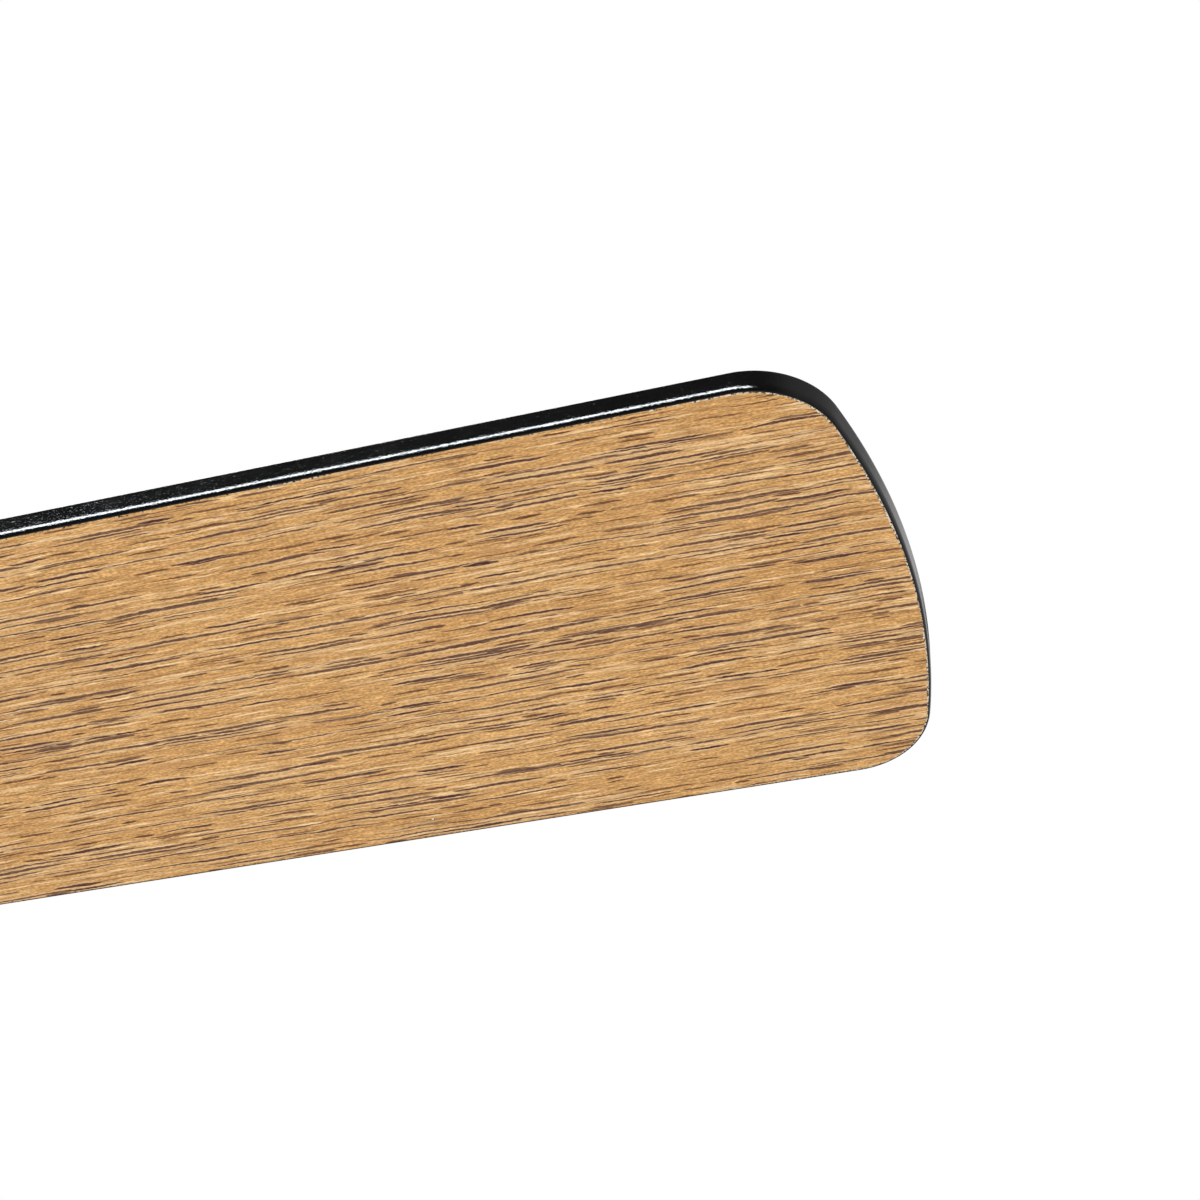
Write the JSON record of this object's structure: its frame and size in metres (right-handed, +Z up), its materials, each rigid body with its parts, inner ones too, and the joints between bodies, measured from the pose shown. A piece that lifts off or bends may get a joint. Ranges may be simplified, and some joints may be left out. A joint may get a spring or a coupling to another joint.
{
  "type": "ceiling fan propeller",
  "caption": "Ceiling-fan propeller with flat oak-faced wooden paddle blades on cast irons, turning on an outer-rotor motor hub hung from a downrod yoke.",
  "frame": {"origin": "on the spin axis, in the plane of the yoke's top rim, where the downrod goes in", "axes": "+Z up along the spin axis, +X along the centre line of blade 1, whose oak face looks down"},
  "size_m": [1.2191, 1.2734, 0.1361],
  "materials": {
    "oak_print": "satin printed oak laminate",
    "fibreboard": "raw fibreboard",
    "black_film": "satin to gloss black film",
    "black_iron": "black paint on a casting",
    "black_screw": "black oxide",
    "black_casting": "black powder coat on die-cast aluminium",
    "shaft_steel": "ground",
    "zinc_plate": "zinc plated",
    "laminations": "stamped silicon steel",
    "copper_wire": "enamelled",
    "bearing_steel": "ground and polished"
  },
  "bodies": {
    "spindle_frame": {"spindle": "shaft_steel", "downrod_yoke": "black_casting", "stator_core": "laminations", "stator_winding": "copper_wire", "cap_plate": "zinc_plate", "spindle_nut": "zinc_plate", "upper_bearing_inner_ring": "bearing_steel", "lower_bearing_inner_ring": "bearing_steel"},
    "rotor": {"blade_1_core": "fibreboard", "blade_1_black_film": "black_film", "blade_1_oak_face": "oak_print", "blade_1_iron": "black_iron", "blade_1_screw_1": "black_screw", "blade_1_screw_2": "black_screw", "blade_1_screw_3": "black_screw", "blade_1_hub_screw_1": "black_screw", "blade_1_hub_screw_2": "black_screw", "blade_2_core": "fibreboard", "blade_2_black_film": "black_film", "blade_2_oak_face": "oak_print", "blade_2_iron": "black_iron", "blade_2_screw_1": "black_screw", "blade_2_screw_2": "black_screw", "blade_2_screw_3": "black_screw", "blade_2_hub_screw_1": "black_screw", "blade_2_hub_screw_2": "black_screw", "blade_3_core": "fibreboard", "blade_3_black_film": "black_film", "blade_3_oak_face": "oak_print", "blade_3_iron": "black_iron", "blade_3_screw_1": "black_screw", "blade_3_screw_2": "black_screw", "blade_3_screw_3": "black_screw", "blade_3_hub_screw_1": "black_screw", "blade_3_hub_screw_2": "black_screw", "blade_4_core": "fibreboard", "blade_4_black_film": "black_film", "blade_4_oak_face": "oak_print", "blade_4_iron": "black_iron", "blade_4_screw_1": "black_screw", "blade_4_screw_2": "black_screw", "blade_4_screw_3": "black_screw", "blade_4_hub_screw_1": "black_screw", "blade_4_hub_screw_2": "black_screw", "blade_5_core": "fibreboard", "blade_5_black_film": "black_film", "blade_5_oak_face": "oak_print", "blade_5_iron": "black_iron", "blade_5_screw_1": "black_screw", "blade_5_screw_2": "black_screw", "blade_5_screw_3": "black_screw", "blade_5_hub_screw_1": "black_screw", "blade_5_hub_screw_2": "black_screw", "rotor_ring": "laminations", "upper_bell": "black_casting", "lower_bell": "black_casting", "upper_bearing_outer_ring": "bearing_steel", "lower_bearing_outer_ring": "bearing_steel"},
    "upper_cage": {"upper_bearing_ball_cage": "bearing_steel"},
    "lower_cage": {"lower_bearing_ball_cage": "bearing_steel"}
  },
  "joints": [
    {"name": "rotor_spin", "type": "hinge", "parent": "spindle_frame", "child": "rotor", "pos_m": [0, 0, -0.072], "axis": [0, 0, 1], "continuous": true},
    {"name": "upper_cage_spin", "type": "hinge", "parent": "spindle_frame", "child": "upper_cage", "pos_m": [0, 0, -0.0537], "axis": [0, 0, 1], "continuous": true},
    {"name": "lower_cage_spin", "type": "hinge", "parent": "spindle_frame", "child": "lower_cage", "pos_m": [0, 0, -0.0903], "axis": [0, 0, 1], "continuous": true}
  ],
  "couplings": [
    {"joint": "upper_cage_spin", "follows": "rotor_spin", "ratio": 0.61842},
    {"joint": "lower_cage_spin", "follows": "rotor_spin", "ratio": 0.61842}
  ]
}
